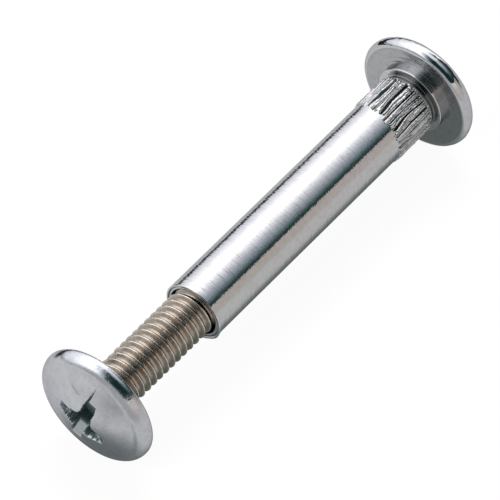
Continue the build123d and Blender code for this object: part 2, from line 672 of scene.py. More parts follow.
    def sliver(self, a: np.ndarray, short_wing: np.ndarray) -> np.ndarray:
        """Pointed score that runs on from the upper wing.

        Args:
            a: place along the long wings.
            short_wing: place along the short wings, from the recess's own middle.

        Returns:
            Its height over the crown, below zero where it cuts.
        """
        taper = (self.sliver_reach - a) / (self.sliver_reach - self.sliver_start)
        off = np.abs(short_wing - self.half_width + self.sliver_inset)
        score = off - self.sliver_width * np.clip(taper, 0.0, 1.0)
        return self.sliver_slope * score + CLEAR * (a < self.sliver_start)

    def scratch(
        self, a: np.ndarray, b: np.ndarray, ends: tuple[float, float, float, float]
    ) -> np.ndarray:
        """Bowed scratch, deepest in the middle.

        Args:
            a: place along the long wings.
            b: place along the short wings.
            ends: a and b of one end, then of the other.

        Returns:
            Its depth, below zero off to its sides.
        """
        step_a, step_b = ends[2] - ends[0], ends[3] - ends[1]
        share = ((a - ends[0]) * step_a + (b - ends[1]) * step_b) / (step_a ** 2 + step_b ** 2)
        within = np.clip(share, 0.0, 1.0)
        bow = self.scratch_bow * np.sin(pi * within)
        off = np.hypot(a - ends[0] - within * step_a + bow, b - ends[1] - within * step_b)
        deep = self.scratch_depth * np.sin(pi * within) ** 0.5
        return deep * np.maximum(1 - off / self.scratch_width, -1.0)

    def worn_corner(
        self, long_wing: np.ndarray, short_wing: np.ndarray, open_height: np.ndarray, top: float
    ) -> np.ndarray:
        """Rounded corner between the upper wing and the side wing next to it.

        Args:
            long_wing: place along the long wings, from the recess's own middle.
            short_wing: place along the short wings, from there too.
            open_height: height of the crown.
            top: height of the crown's top.

        Returns:
            Height of its surface, far above the crown elsewhere.
        """
        reach = self.half_width + self.corner_round
        inside = (long_wing > 0.0) & (long_wing < reach)
        inside &= (short_wing > self.corner_start) & (short_wing < reach)
        off = np.hypot(long_wing - reach, short_wing - reach) - self.corner_round
        wall = np.maximum(open_height - self.corner_slope * off, top - self.ramp_depth)
        return np.where(inside, wall, open_height + CLEAR)


@dataclass(frozen=True)
class MushroomHead:
    """Low domed head with a rolled rim, a flat underside and a struck recess."""

    end: End
    seat_x: float                   # underside of the head, in metres
    recess: Recess
    slot_turn: float                # degrees from upright, about +X
    radius: float = 4.997
    crown_height: float = 2.47
    dome_radius: float = 8.8
    lip_radius: float = 4.05        # where the dome gives way to a flatter ring
    edge_radius: float = 4.5        # where that ring meets the rolled rim
    flank_round: float = 0.967      # round of the rolled rim, over the foot's
    flank_height: float = 0.5       # where the rim is widest
    foot_round: float = 0.48
    rim_wave: float = 0.006         # how uneven the rolled rim is
    ring_depth: float = 0.0         # height of the turned rings on the underside
    ring_pitch: float = 0.16
    ring_reach: float = 4.4         # radius to which the rings go
    underside_shade: float = 0.0   # painted shade under the head, and how much duller the plate is there
    swell: float = 0.012            # slow unevenness of the crown
    fine_swell: float = 0.004
    block_reach: float = 2.9        # half the square block of fine cells round the recess
    cell: float = 0.042
    rings_across: int = 30          # from the block's edge to the edge of the crown
    buried_radius: float = 0.8      # the underside goes on to here, inside the shank
    seed: int = 11

    @property
    def cells(self) -> int:
        """How many fine cells the block has along each side."""
        return 2 * round(self.block_reach / self.cell)

    @property
    def rim_turn(self) -> float:
        """Slope, in degrees, at which the rolled rim takes over from the crown."""
        return degrees(asin((self.edge_radius - self.radius) / self.flank_round + 1))

    def crown(self, radius: np.ndarray | float) -> np.ndarray:
        """Height of the dome and of the flatter ring round it.

        Args:
            radius: distance from the axis.

        Returns:
            Height above the head's underside. The ring meets both its neighbours smoothly.
        """
        lip, span = self.lip_radius, self.edge_radius - self.lip_radius
        inner = np.sqrt(self.dome_radius ** 2 - np.minimum(radius, lip) ** 2)
        dome = self.crown_height - self.dome_radius + inner
        lip_height = self.crown_height - self.dome_radius + sqrt(self.dome_radius ** 2 - lip ** 2)
        lip_slope = span * lip / sqrt(self.dome_radius ** 2 - lip ** 2)
        rim_height = self.flank_height + self.flank_round * cos(radians(self.rim_turn))
        rim_slope = span * tan(radians(self.rim_turn))
        t = np.clip((np.asarray(radius) - lip) / span, 0.0, 1.0)
        ring = (
            lip_height * (2 * t ** 3 - 3 * t ** 2 + 1) - lip_slope * (t ** 3 - 2 * t ** 2 + t)
            + rim_height * (3 * t ** 2 - 2 * t ** 3) - rim_slope * (t ** 3 - t ** 2)
        )
        return np.where(t > 0, ring, dome)

    def profile(self) -> list[tuple[float, float]]:
        """Rim and underside as heights and radii, from the crown's edge to inside the shank."""
        flank_centre = (self.flank_height, self.radius - self.flank_round)
        points = arc(flank_centre, self.flank_round, self.rim_turn, 90, 16)[1:]
        foot = self.foot_round
        points += arc((foot, self.radius - foot), foot, 90, 180, 10)[1:]
        points += run(points[-1], (0.0, self.buried_radius), 62)
        return points

    def relief(self, a: np.ndarray, b: np.ndarray) -> np.ndarray:
        """Small unevenness of the crown in millimetres."""
        grain = Grain(self.seed)
        slow, fine = grain.at(a * 0.9, b * 0.9), grain.at(a * 2.7, b * 2.7)
        return self.swell * slow + self.fine_swell * fine

    def block(self) -> tuple[np.ndarray, np.ndarray, list[Sequence[int]], list[int]]:
        """Square block of fine cells in the middle of the crown.

        Returns:
            Places of its vertices along both pairs of wings, its faces, and the numbers of the
            vertices round its edge.
        """
        cells, row = self.cells, self.cells + 1
        line = np.linspace(-self.block_reach, self.block_reach, row)
        a, b = (grid.ravel() for grid in np.meshgrid(line, line, indexing="ij"))
        faces = [
            (i * row + j, (i + 1) * row + j, (i + 1) * row + j + 1, i * row + j + 1)
            for i in range(cells) for j in range(cells)
        ]
        up, down = range(cells), range(cells, 0, -1)
        edge = [i * row for i in up] + [cells * row + j for j in up]
        edge += [i * row + cells for i in down] + list(down)
        return a, b, faces, edge

    def rim(self, angles: np.ndarray) -> list[np.ndarray]:
        """Rolled rim and underside, ring after ring, and last their middle.

        Args:
            angles: place of each vertex round the axis, the same in every ring.

        Returns:
            Places along both pairs of wings, heights, and the painted shade of each vertex.
        """
        waves = Grain(self.seed + 1)
        rings = []
        for place, radius in self.profile():
            reach = np.full(len(angles), radius)
            level = np.full(len(angles), place)
            if place > 0:
                wave = waves.at(angles * 5, place * 1.3) + 0.5 * waves.at(angles * 17, place * 3)
                reach -= self.rim_wave * (1 + wave) * smoothstep(0.0, 0.3, np.array(place))
            elif self.ring_depth:
                ring = waves.at(radius / self.ring_pitch, angles * 1.2)
                ring += 0.5 * waves.at(radius / self.ring_pitch * 2.3, angles * 3.1)
                level += self.ring_depth * (1 + ring / 1.5) * (radius < self.ring_reach)
            # Painted shade on the flat underside.
            painted_dark = np.full(len(angles), self.underside_shade * (place == 0))
            rings.append((reach * np.cos(angles), reach * np.sin(angles), level, painted_dark))
        rings.append(([0.0],) * 4)
        return [np.concatenate(values) for values in zip(*rings)]

    def build(self, name: str) -> bpy.types.Object:
        """Build the head as one closed mesh.

        Args:
            name: the piece's name.

        Returns:
            The new object.
        """
        block_a, block_b, faces, edge = self.block()
        first, columns = len(block_a), len(edge)
        angles = (np.arange(columns) / columns * 4 - 0.5) * pi / 2 - pi / 2
        shares = np.arange(1, self.rings_across + 1)[:, None] / self.rings_across
        ring_a, ring_b = (
            (inner * (1 - shares) + self.edge_radius * outer * shares).ravel()
            for inner, outer in ((block_a[edge], np.cos(angles)), (block_b[edge], np.sin(angles)))
        )
        a, b = np.concatenate([block_a, ring_a]), np.concatenate([block_b, ring_b])
        whole = self.crown(np.hypot(a, b)) + self.relief(a, b)
        cut = self.recess.cut(a, b, self.crown, self.crown_height)
        height = np.minimum(whole + self.recess.burr(a, b), cut)
        block = height[:first].reshape(self.cells + 1, self.cells + 1)
        crown = (a, b, height, self.painted_shade(a, whole - height, block))
        a, b, height, painted_shade = (
            np.concatenate(parts) for parts in zip(crown, self.rim(angles))
        )

        faces += [
            (edge[column], edge[(column + 1) % columns], first + (column + 1) % columns, first + column)
            for column in range(columns)
        ]
        rings = (len(a) - 1 - first) // columns
        faces += ring_faces(rings, columns, first)
        last, centre = first + (rings - 1) * columns, len(a) - 1
        faces += [
            (last + column, last + (column + 1) % columns, centre) for column in range(columns)
        ]
        return mesh_piece(name, self.placed(a, b, height), faces, painted_shade)

    def painted_shade(self, a: np.ndarray, depth: np.ndarray, block: np.ndarray) -> np.ndarray:
        """How much painted shade each place of the crown takes, by how deep and steep it lies in the
        recess.

        Args:
            a: place along the long wings; the upper one takes more painted shade.
            depth: how far it lies under the whole crown.
            block: heights of the square block of fine cells.

        Returns:
            0 on the crown, middling on the ramps and near 1 on steep walls and in the core.
        """
        slope_a, slope_b = np.gradient(block, self.cell)
        steep = np.zeros_like(depth)
        steep[:block.size] = np.hypot(slope_a, slope_b).ravel()
        # Painted shade grows with depth and steepness, and is stronger on the upper wing.
        share = 0.32 + 0.25 * smoothstep(0.8, 1.7, depth) + 0.45 * smoothstep(0.9, 2.2, steep)
        share = share + 0.4 * smoothstep(-0.3, 0.2, a)
        return np.minimum(share, 0.93) * smoothstep(0.03, 0.12, depth)

    def placed(self, a: np.ndarray, b: np.ndarray, height: np.ndarray) -> np.ndarray:
        """Turn the head's own places into the row frame.

        Args:
            a: place along the long wings.
            b: place along the short wings.
            height: height above the underside.

        Returns:
            One row of x, y, z in metres per place.
        """
        outward = self.end.value
        turn = radians(self.slot_turn)
        long_way = np.array([0.0, -sin(turn), cos(turn)])
        short_way = np.array([0.0, -outward * cos(turn), -outward * sin(turn)])
        points = np.outer(a, long_way) + np.outer(b, short_way)
        points[:, 0] = outward * height
        return points * MM + np.array([self.seat_x, 0.0, AXIS_HEIGHT])


@dataclass(frozen=True)
class ThreadedShank:
    """Rolled metric thread: rounded roots, narrow rounded crests, one helix from head to tip."""

    seat_x: float                   # underside of the screw's head, in metres
    crest_radius: float = 1.945
    root_radius: float = 1.575
    pitch: float = 0.7
    length: float = 20.0
    tip_chamfer: float = 0.4
    sunk: float = 0.5               # how far the shank runs on inside the head
    crest_share: float = 0.02       # of half a pitch, the flat on top of the turns
    root_share: float = 0.12        # the same at the bottom
    flank_bow: float = 0.6          # under 1, the turns are narrow and the valleys wide
    nick_depth: float = 0.10        # share of the thread's height that the crests' nicks take
    off_axis: tuple[float, float] = (0.062, 0.032)  # how loosely it sits in the barrel
    spare_turns: int = 3            # past each end, where the helix closes to a point
    columns: int = 120
    rows_per_turn: int = 18

    def depth_at(self, share: np.ndarray) -> np.ndarray:
        """How far the surface stands out of the root, 0 to 1, over one pitch."""
        off_crest = np.abs((share + 0.5) % 1.0 - 0.5) * 2
        return 1 - smoothstep(self.crest_share, 1 - self.root_share, off_crest) ** self.flank_bow

    def build(self, name: str) -> bpy.types.Object:
        """Build the shank as one closed mesh whose rows follow the helix.

        Args:
            name: the piece's name.

        Returns:
            The new object.
        """
        turns = int((self.length + self.sunk) / self.pitch) + 2 * self.spare_turns
        rows, columns = turns * self.rows_per_turn, self.columns
        row, column = np.meshgrid(np.arange(rows), np.arange(columns), indexing="ij")
        angle = column / columns * 2 * pi
        share = row / self.rows_per_turn
        along = (share + column / columns - self.spare_turns) * self.pitch - self.sunk
        grain = Grain(23)
        proud = self.depth_at(share)
        nicks = 1 - self.nick_depth * smoothstep(0.35, 0.8, grain.at(along * 3, angle * 5))
        radius = self.root_radius + (self.crest_radius - self.root_radius) * proud * nicks
        # Painted shade in the thread's valleys, a little uneven.
        painted_shade = 1 - smoothstep(0.55, 0.97, proud) - 0.25 * grain.at(along * 7, angle * 9)
        tip = self.length - along + self.crest_radius - self.tip_chamfer
        radius = np.minimum(radius, tip)
        past = np.maximum(along - self.length, 0) + np.maximum(-self.sunk - along, 0)
        radius = np.maximum(0.0, radius - past * self.root_radius / self.pitch * 2)
        place = np.clip(along, -self.sunk, self.length)
        points = np.stack([
            self.seat_x + place * MM,
            (radius * np.cos(angle) + self.off_axis[0]) * MM,
            (radius * np.sin(angle) + self.off_axis[1]) * MM + AXIS_HEIGHT,
        ], axis=-1).reshape(-1, 3)
        faces = []
        for i in range(rows - 1):
            for j in range(columns):
                # After the last column the surface goes on one turn further along.
                shift, j_next = (0, j + 1) if j < columns - 1 else (self.rows_per_turn, 0)
                if i + 1 + shift < rows:
                    faces.append((
                        i * columns + j, (i + shift) * columns + j_next,
                        (i + 1 + shift) * columns + j_next, (i + 1) * columns + j,
                    ))
        return mesh_piece(name, points, faces, np.clip(painted_shade, 0.0, 1.0))


@dataclass(frozen=True)
class Knurl:
    """Straight knurl pressed into the barrel: broad torn ridges with narrow grooves."""

    start: float = 22.0             # from the mouth
    end: float = 25.9
    count: int = 28
    crest: float = 2.60
    root: float = 2.37
    sway: float = 0.3               # how far the ridges wander, as a share of their spacing
    late_turn: float = 27.0         # degrees round the axis to where the knurl starts latest
    late: float = 0.85
    late_width: float = 0.6
    uneven_start: float = 0.2       # from ridge to ridge
    fine_start: float = 0.12        # within a ridge
    uneven_end: float = 0.05
    rise: float = 0.14              # length over which the ridges rise out of the tube
    fall: float = 0.12
    groove: float = 0.085           # half-widths of the cuts, as shares of the spacing
    groove_spread: float = 0.03
    split: float = 0.055
    hair: float = 0.04
    split_depth: float = 0.8        # depths of the lesser cuts, as shares of the groove's
    hair_depth: float = 0.6
    tilt: float = 0.045             # how far one side of a ridge stands over the other
    torn: float = 0.012             # unevenness of the ridges' tops
    fine_torn: float = 0.006
    flake: float = 0.022            # torn metal that stands up on them
    sunk: float = 0.008             # how far the tops lie lower between the flakes

    def cuts(self, number: np.ndarray, share: np.ndarray, place: float) -> np.ndarray:
        """Depth of the groove, the split and the hairline of each ridge, 0 to 1.

        Args:
            number: the ridge's own number.
            share: place across the ridge, 0 to 1.
            place: distance from the mouth.

        Returns:
            The deepest cut at each place.
        """
        grain = Grain(37)
        width = self.groove + self.groove_spread * grain.at(number * 3.7, place * 1.3)
        groove = bell(share, 0.5, width)
        split = bell(share, 0.93 + 0.16 * grain.at(number * 2.9, place * 0.8), self.split)
        split *= self.split_depth * smoothstep(-0.7, 0.1, grain.at(number * 1.7, place * 1.3))
        hair = bell(share, 0.22 + 0.12 * grain.at(number * 6.1, place), self.hair)
        hair *= self.hair_depth * smoothstep(-0.2, 0.3, grain.at(number * 4.3, place * 1.7))
        return np.maximum.reduce([groove, split, hair])

    def at(self, place: float, angle: np.ndarray, tube: float) -> tuple[np.ndarray, np.ndarray]:
        """The knurled surface at a place along it.

        Args:
            place: distance from the mouth.
            angle: places round the axis, in radians.
            tube: radius of the smooth tube next to it.

        Returns:
            Radius at each angle, and the painted shade, 0 to 1, by how deep in a groove it lies.
        """
        grain = Grain(37)
        turns = angle / (2 * pi)
        teeth = turns * self.count + self.sway * grain.at(turns * 28, place * 0.5)
        number = np.floor(teeth)
        share = teeth - number
        late = self.late * bell(angle, radians(self.late_turn), self.late_width)
        start = self.start + late + self.uneven_start * grain.at(number * 7.3, 3.1)
        start = start + self.fine_start * grain.at(turns * 120, 8.0)
        end = self.end + self.uneven_end * grain.at(number * 5.1, 9.7)
        strength = smoothstep(0, self.rise, place - start) * smoothstep(0, self.fall, end - place)
        cut = self.cuts(number, share, place)
        tilt = self.tilt * grain.at(number * 9.1, 1.3) * (share - 0.5) * 2
        torn = self.torn * grain.at(turns * 130, place * 1.6)
        torn = torn + self.fine_torn * grain.at(turns * 230, place * 5)
        torn = torn + self.flake * smoothstep(0.2, 0.6, grain.at(turns * 170, place * 5)) - self.sunk
        radius = self.crest - (self.crest - self.root) * cut + torn + tilt
        # The grooves take painted shade.
        return tube + (radius - tube) * strength, smoothstep(0.25, 0.75, cut) * strength


@dataclass(frozen=True)
class Barrel:
    """Tube of the barrel nut, from its mouth to inside its head, with its straight knurl."""

    seat_x: float                   # underside of the barrel's head, in metres
    knurl: Knurl = Knurl()
    length: float = 27.0
    tube_radius: float = 2.5
    mouth_round: float = 0.06
    mouth_land: float = 0.11        # flat ring between the outer edge and the step inside it
    mouth_groove: float = 0.11      # depth of that step
    mouth_reach: float = 0.7        # from the mouth, how far its unevenness goes
    mouth_wave: float = 0.010       # how uneven its edge is; all of it lies behind the mouth
    bore_radius: float = 2.08
    burr_turn: float = 205.0        # degrees round the axis to the burr that parting-off left
    burr_width: float = 0.34        # in radians, half of it
    burr_reach: float = 0.13        # it stands out sideways, so that the closed head clears it
    bore_depth: float = 24.0
    neck_radius: float = 2.3
    neck_shade: float = 0.8        # painted shade, and duller plate, in the neck and in the mouth's step
    collar_start: float = 26.44
    collar_radius: float = 2.95
    collar_round: float = 0.08
    sunk: float = 0.8               # how far the barrel runs on inside its head
    columns: int = 616

    def mouth(self) -> list[tuple[float, float]]:
        """Places and radii from the bore out over the step, the land and the rounded edge."""
        edge, groove = self.mouth_round, self.mouth_groove
        land = self.tube_radius - edge - self.mouth_land
        lip = [(0.04, self.bore_radius + 0.03), (0.03, land - 0.07), (groove, land - 0.05)]
        lip += [(groove, land - 0.02), (0.0, land)]
        lip += run(lip[-1], (0.0, self.tube_radius - edge), 2)
        return lip + arc((edge, self.tube_radius - edge), edge, 180, 90, 6)[1:]

    def profile(self) -> list[tuple[float, float]]:
        """Places from the mouth and radii, from the bore's bottom round to inside the head."""
        points = [(self.bore_depth, 0.0)]
        points += run(points[-1], (self.bore_depth, self.bore_radius), 2)
        points += run(points[-1], (3.2, self.bore_radius), 2)
        points += run(points[-1], (0.08, self.bore_radius + 0.005), 8)
        points += self.mouth()
        fillet, buried = self.collar_round, self.length + self.sunk
        for stop, steps in (
            ((0.6, self.tube_radius), 6),
            ((self.knurl.start - 0.5, self.tube_radius), 14),
            ((self.knurl.end + 0.1, self.tube_radius), 92),
            ((self.knurl.end + 0.2, self.neck_radius), 2),
            ((self.collar_start, self.neck_radius), 3),
            ((self.collar_start, self.collar_radius - fillet), 3),
        ):
            points += run(points[-1], stop, steps)
        centre = (self.collar_start + fillet, self.collar_radius - fillet)
        points += arc(centre, fillet, 180, 90, 8)[1:]
        points += run(points[-1], (buried, self.collar_radius), 4)
        return points + run(points[-1], (buried, 0.0), 3)

    def build(self, name: str) -> bpy.types.Object:
        """Build the barrel as one closed mesh.

        Args:
            name: the piece's name.

        Returns:
            The new object.
        """
        angle = np.arange(self.columns) / self.columns * 2 * pi
        grain = Grain(41)
        knurl_end = self.knurl.end + 0.1
        rings, ring_shades = [], []
        for place, radius in self.profile():
            reach, along = np.full(self.columns, radius), np.full(self.columns, place)
            stepped = 0.05 < place < 0.2 and radius < self.tube_radius - self.mouth_round
            in_bore = radius < self.bore_radius + 0.01
            # Painted shade inside the bore deepens over the first millimetres, and the plate grows
            # duller.
            painted_dark = in_bore * min(1.0, 0.35 + place / 3) + self.neck_shade * stepped
            painted_shade = np.full(self.columns, painted_dark)
            on_neck = radius < self.neck_radius + 0.1
            if self.knurl.start - 0.5 < place <= knurl_end and not on_neck:
                reach, painted_shade = self.knurl.at(place, angle, self.tube_radius)
            if knurl_end < place <= self.collar_start and on_neck:
                painted_shade = np.full(self.columns, self.neck_shade)
            if place < self.mouth_reach and not in_bore:
                fade = 1 - place / self.mouth_reach
                burr = bell(angle, radians(self.burr_turn), self.burr_width)
                burr *= 1 + 0.2 * grain.at(angle * 11)
                outer = smoothstep(self.bore_radius, self.tube_radius - 0.1, np.array(radius))
                reach = reach + self.burr_reach * burr * outer * fade ** 2
                along = along + self.mouth_wave * (2 + grain.at(angle * 9, radius)) * fade
            rings.append(np.stack([along, reach * np.cos(angle), reach * np.sin(angle)], axis=-1))
            ring_shades.append(painted_shade)
        points = np.concatenate(rings) * MM
        points[:, 0] += self.seat_x - self.length * MM
        points[:, 2] += AXIS_HEIGHT
        faces = ring_faces(len(rings), self.columns)
        return mesh_piece(name, points, faces, np.concatenate(ring_shades))


# ---------------------------------------------------------------- sub-assemblies


@dataclass(frozen=True)
class Screw:
    """The threaded screw: a domed head on a fully threaded shank."""

    seat_x: float                   # underside of its head, in metres
    slot_turn: float = 19.7
    scratches: tuple[tuple[float, float, float, float], ...] = (
        (2.35, 2.24, 2.28, 0.93), (0.79, -1.08, 1.63, -1.85), (-2.1, -1.1, -1.7, -2.0),
    )

    def build(self) -> None:
        """Build the head and the shank, finish them and set them on the frame."""
        recess = Recess(scratches=self.scratches)
        head = MushroomHead(End.SCREW, self.seat_x, recess, self.slot_turn)
        shank = ThreadedShank(self.seat_x)
        # Cold-headed steel, tumbled and plated: satin, with faint blue clouds, and a recess
        # darkened green-grey with painted shade.
        self.dress(head.build("screw_head"), StruckFace(
            "cold_headed_nickel_plate", colour="#bfc0c3", stain="#9fa0a2", roughness=0.13,
            tarnish="#b3b3bf", tarnish_share=0.3, painted_shade="#5f7873", hollow_roughness=0.45,
            mottle_mm=0.8, stain_share=0.4, grain_depth_mm=0.0035,
        ))
        # Rolled steel under thin plate: warm grey-brown, darkened in the valleys with painted shade,
        # silver on the crests.
        self.dress(shank.build("screw_thread"), RolledThread(
            "rolled_thread_nickel_plate", colour="#d2cfca", stain="#b9ac9f", roughness=0.13,
            tarnish="#a2a283", tarnish_share=0.22, painted_shade="#a39689", hollow_roughness=0.12,
            grain_mm=0.10, grain_depth_mm=0.010, mottle_mm=0.4, stain_share=0.7,
        ))

    def dress(self, piece: bpy.types.Object, finish: PlateOverSteel) -> None:
        """Give a piece its finish and let it ride with the screw.

        Args:
            piece: the new piece.
            finish: what it is made of and how it was worked.
        """
        piece.data.materials.append(finish.build())
        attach(piece, "screw")
        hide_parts("screw")
        LOG.info("%s: %d faces", piece.name, len(piece.data.polygons))


@dataclass(frozen=True)
class SleeveNut:
    """The barrel nut: a smooth tube with a knurled neck and a domed head."""

    seat_x: float                   # underside of its head, in metres
    slot_turn: float = -0.9

    def build(self) -> None:
        """Build the head and the barrel, finish them and set them on the frame."""
        head = MushroomHead(
            End.SLEEVE, self.seat_x, Recess(seed=8), self.slot_turn,
            rim_wave=0.016, ring_depth=0.022, underside_shade=0.26, seed=29,
        )
        barrel = Barrel(self.seat_x)
        # Free-cutting steel, faced and plated: the rim is a clean mirror, the underside dull and
        # darkened with painted shade.
        self.dress(head.build("sleeve_head"), TurnedFace(
            "faced_head_nickel_plate", colour="#bcbdc0", stain="#aaa7a2", roughness=0.07,
            hollow_roughness=0.6, grain_depth_mm=0.0006, feed_depth_mm=0.012,
        ))
        # Free-cutting steel bar, turned and plated: bright, with a few warm spots.
        self.dress(barrel.build("sleeve_barrel"), TurnedTube(
            "turned_tube_nickel_plate", colour="#bebebf", stain="#a59d95", roughness=0.10,
            tarnish="#aaa199", tarnish_share=0.09, mottle_mm=0.4, stain_share=0.3,
            grain_depth_mm=0.006,
        ))

    def dress(self, piece: bpy.types.Object, finish: PlateOverSteel) -> None:
        """Give a piece its finish and let it ride with the barrel nut.

        Args:
            piece: the new piece.
            finish: what it is made of and how it was worked.
        """
        piece.data.materials.append(finish.build())
        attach(piece, "sleeve")
        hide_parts("sleeve_nut")
        LOG.info("%s: %d faces", piece.name, len(piece.data.polygons))


# ---------------------------------------------------------------- studio


# Brightness of the light tent's cloth, as red, green and blue, at degrees round the object's
# long axis from the horizon behind it. Studio says which stretch of the tent each one covers.
TENT_FOOT = ((0, (0.06, 0.07, 0.08)), (2.4, (0.08, 0.10, 0.11)), (5.2, (1.16, 1.20, 1.28)))
TENT_FOR_TUBE = TENT_FOOT + (
    (12, (1.26, 1.30, 1.38)), (18, (1.36, 1.40, 1.48)), (28, (1.64, 1.64, 1.72)),
    (37, (1.88, 1.88, 1.96)), (48, (2.25, 2.25, 2.25)), (74, (2.25, 2.25, 2.25)),
    (80, (1.92, 1.94, 2.00)), (90, (1.44, 1.46, 1.54)), (97, (1.12, 1.15, 1.23)),
    (104, (0.88, 0.91, 0.99)), (110, (0.67, 0.71, 0.78)), (117, (0.50, 0.56, 0.62)),
    (124, (0.32, 0.40, 0.45)), (130, (0.18, 0.26, 0.29)), (137, (0.06, 0.115, 0.125)),
    (144, (0.02, 0.05, 0.05)), (147.4, (0.015, 0.04, 0.04)), (148.2, (0.70, 0.65, 0.61)),
    (180, (0.74, 0.69, 0.65)),
)
TENT_CAMERA_SIDE = TENT_FOOT + (
    (12, (1.26, 1.30, 1.38)), (28, (1.64, 1.64, 1.72)), (48, (2.25, 2.25, 2.25)),
    (72, (2.25, 2.25, 2.25)), (79, (1.30, 1.34, 1.40)), (85, (0.50, 0.56, 0.62)),
    (91, (0.09, 0.15, 0.17)), (98, (0.015, 0.045, 0.045)), (147.4, (0.015, 0.04, 0.04)),
    (148.2, (1.25, 1.15, 1.10)), (160, (0.85, 0.80, 0.76)), (180, (0.74, 0.69, 0.65)),
)
TENT_PAST_END = TENT_FOOT + (
    (28, (1.64, 1.64, 1.72)), (48, (2.25, 2.25, 2.25)), (68, (2.25, 2.25, 2.25)),
    (76, (0.90, 0.94, 1.00)), (84, (0.06, 0.09, 0.09)), (168, (0.02, 0.04, 0.04)),
    (180, (0.40, 0.38, 0.36)),
)
TENT_NEAR_END = (0.58, 0.60, 0.62)


@dataclass(frozen=True)
class Studio:
    """Plain pale floor, a soft light tent round the object, soft lamps and the camera.

    The tent is seen only in the metal. Going round the object's long axis from the horizon
    behind it, it is a bright diffuser, then falls off to a dark gap above the camera, and
    ends in a pale card that stands in front.
    """

    floor_radius: float = 700.0
    floor_glow: float = 0.94        # share of the floor that shows white; the rest takes shadow
    floor_behind: float = 0.94      # painted brightness of the open floor in the metal
    floor_front: float = 0.79
    floor_turn: tuple[float, float] = (-2.0, 6.0)       # from front to back it changes over here
    painted_dark_depth: float = 0.22        # how much darker the floor is painted in front of the screw's head, in the metal
    painted_dark_turn: tuple[float, float] = (-28.0, -42.0)     # along the axis it sets in over here
    painted_dark_width: float = 20.0        # on the far side it ends here
    # tint of the painted shade under the fastener, seen in the metal
    shade: str = "#b9d2cb"
    shade_reach: float = 20.5       # half the length of the painted shade under the fastener
    shade_width: float = 5.0        # how far to each side the shade has mostly gone
    shade_offset: float = 0.7       # how far in front of the axis its middle lies
    shade_depth: float = 0.56
    card: str = "#2b3233"
    card_start: float = -25.0       # just short of the screw's head; it ends far past the other
    card_near: float = 34.0
    card_far: float = 690.0
    card_height: float = 0.25
    tent_radius: float = 680.0
    # Along the axis, as shares of the tent's radius, where the cloth starts to change from what
    # the tube mirrors, and where it has changed.
    camera_side: tuple[float, float] = (0.42, 0.10)
    past_end: tuple[float, float] = (0.70, 0.84)
    near_end: tuple[float, float] = (-0.62, -0.86)
    fill: float = 0.35              # strength of the plain grey fill
    lens: float = 381.0
    sensor: float = 36.0
    camera_place: tuple[float, float, float] = (-197.94, -155.22, 308.42)
    view: tuple[float, float, float] = (0.5002, 0.3951, -0.7705)
    right: tuple[float, float, float] = (0.6198, -0.7848, 0.0)

    def floor(self) -> None:
        """Pale paper floor that stays white to the eye and keeps the shadow; in the metal it shows
        painted brightness and painted shade.
        """
        mesh = bpy.data.meshes.new("floor")
        form = bmesh.new()
        bmesh.ops.create_circle(form, cap_ends=True, radius=self.floor_radius * MM, segments=96)
        form.to_mesh(mesh)
        form.free()
        floor = bpy.data.objects.new("floor", mesh)
        bpy.context.scene.collection.objects.link(floor)
        material, tree = new_material("white_paper")
        path = add_node(tree, "LightPath").node.outputs
        glossy = path["Is Glossy Ray"]
        paper = add_node(tree, "BsdfDiffuse", {"Color": linear("#f4f4f4")})
        level, shade = self.floor_in_gloss(tree)
        colour = add_node(tree, "Mix", {
            0: add_node(tree, "Math", (shade, glossy), operation="MULTIPLY"),
            6: linear("#ffffff"), 7: linear(self.shade),
        }, 2, data_type="RGBA")
        strength = add_node(tree, "Mix", {0: glossy, 2: 1.0, 3: level})
        white = add_node(tree, "Emission", (colour, strength))
        share = add_node(tree, "Math", (self.seen(tree), self.floor_glow), operation="MULTIPLY")
        add_node(tree, "OutputMaterial", (add_node(tree, "MixShader", (share, paper, white)),))
        floor.data.materials.append(material)

    def seen(self, tree: bpy.types.NodeTree) -> bpy.types.NodeSocket:
        """Tell what the eye sees from what only lights the object.

        Args:
            tree: the material's or the world's node tree.

        Returns:
            1 for what is seen straight, in the metal or through glass, and 0 for other light.
        """
        path = add_node(tree, "LightPath").node.outputs
        direct = add_node(
            tree, "Math", (path["Is Camera Ray"], path["Is Transmission Ray"]), operation="MAXIMUM"
        )
        return add_node(tree, "Math", (direct, path["Is Glossy Ray"]), operation="MAXIMUM")

    def floor_in_gloss(
        self, tree: bpy.types.NodeTree
    ) -> tuple[bpy.types.NodeSocket, bpy.types.NodeSocket]:
        """How bright the floor is painted in the metal, and how much of it is painted shade.

        Its brightness is painted: bright behind the fastener, where the light comes from, duller in
        front, and darkest close round the fastener's foot, with painted shade.

        Args:
            tree: the floor's material.

        Returns:
            The painted brightness and the share of painted shade.
        """
        place = add_node(tree, "Mapping", {
            "Vector": add_node(tree, "TexCoord", output="Object"), "Scale": (1 / MM,) * 3,
        })
        along, off = add_node(tree, "SeparateXYZ", (place,)).node.outputs[:2]
        base = add_node(
            tree, "MapRange", (off, *self.floor_turn, self.floor_front, self.floor_behind),
            interpolation_type="SMOOTHSTEP",
        )
        # Painted darker patch in front of the screw's head.
        painted_dark = add_node(tree, "Math", (
            add_node(
                tree, "MapRange", (along, *self.painted_dark_turn, 0.0, self.painted_dark_depth),
                interpolation_type="SMOOTHSTEP",
            ),
            add_node(
                tree, "MapRange", (off, self.painted_dark_width, 0.0), interpolation_type="SMOOTHSTEP"
            ),
        ), operation="MULTIPLY")

        past_end = add_node(tree, "Math", (add_node(tree, "Math", (
            add_node(tree, "Math", (along,), operation="ABSOLUTE"), self.shade_reach,
        ), operation="SUBTRACT"), 0.0), operation="MAXIMUM")
        beside = add_node(tree, "Math", (off, self.shade_offset), operation="ADD")
        distance = add_node(
            tree, "VectorMath", (add_node(tree, "CombineXYZ", (past_end, beside)),), "Value",
            operation="LENGTH",
        )
